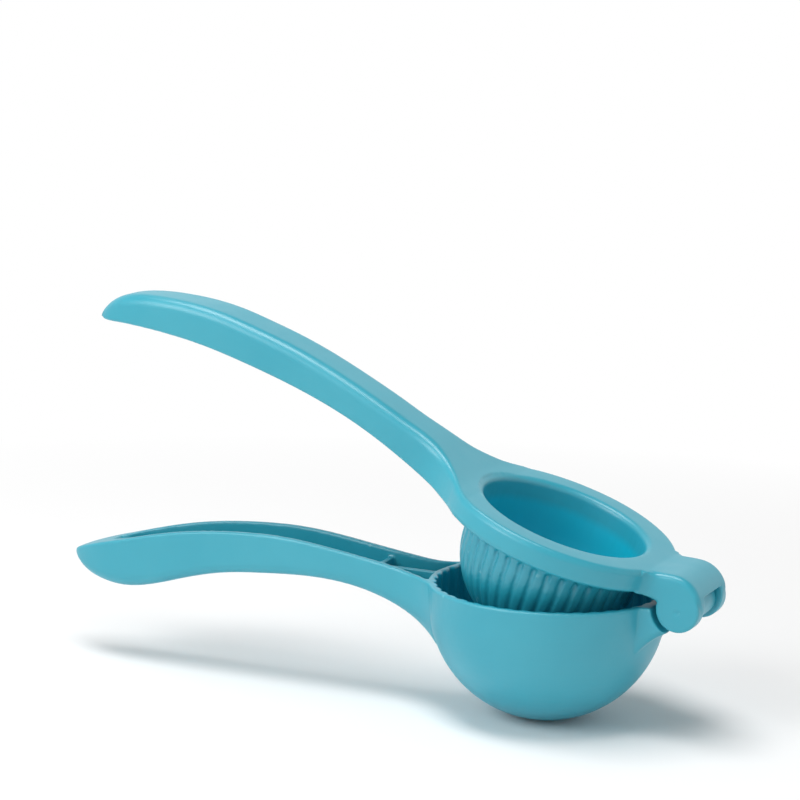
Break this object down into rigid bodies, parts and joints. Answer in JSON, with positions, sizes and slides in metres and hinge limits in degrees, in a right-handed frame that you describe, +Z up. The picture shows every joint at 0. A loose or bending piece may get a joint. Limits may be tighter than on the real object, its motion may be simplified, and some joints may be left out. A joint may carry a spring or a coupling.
{
  "type": "hinged lemon squeezer",
  "caption": "Hinged hand press for lemon halves: perforated fluted bowl with channel handle, and a ring with fluted pressing cup and matching handle, joined by one pin.",
  "frame": {"origin": "centre of the flat foot under the bowl", "axes": "+Z up along the bowl's axis, +X from the bowl's axis towards the hinge with both handles towards -X, +Y along the hinge pin"},
  "size_m": [0.214, 0.0726, 0.1178],
  "materials": {
    "enamel": "satin sky-blue enamel over cast aluminium",
    "pin_enamel": "the same enamel over the staked ends of a steel pin"
  },
  "bodies": {
    "lower": {"lower_arm": "enamel"},
    "upper": {"upper_arm": "enamel", "hinge_pin": "pin_enamel"}
  },
  "joints": [
    {"name": "arm_hinge", "type": "hinge", "parent": "lower", "child": "upper", "pos_m": [0.04525, 0, 0.04118], "axis": [0, 1, 0], "range_deg": [-18.64, 135]}
  ]
}
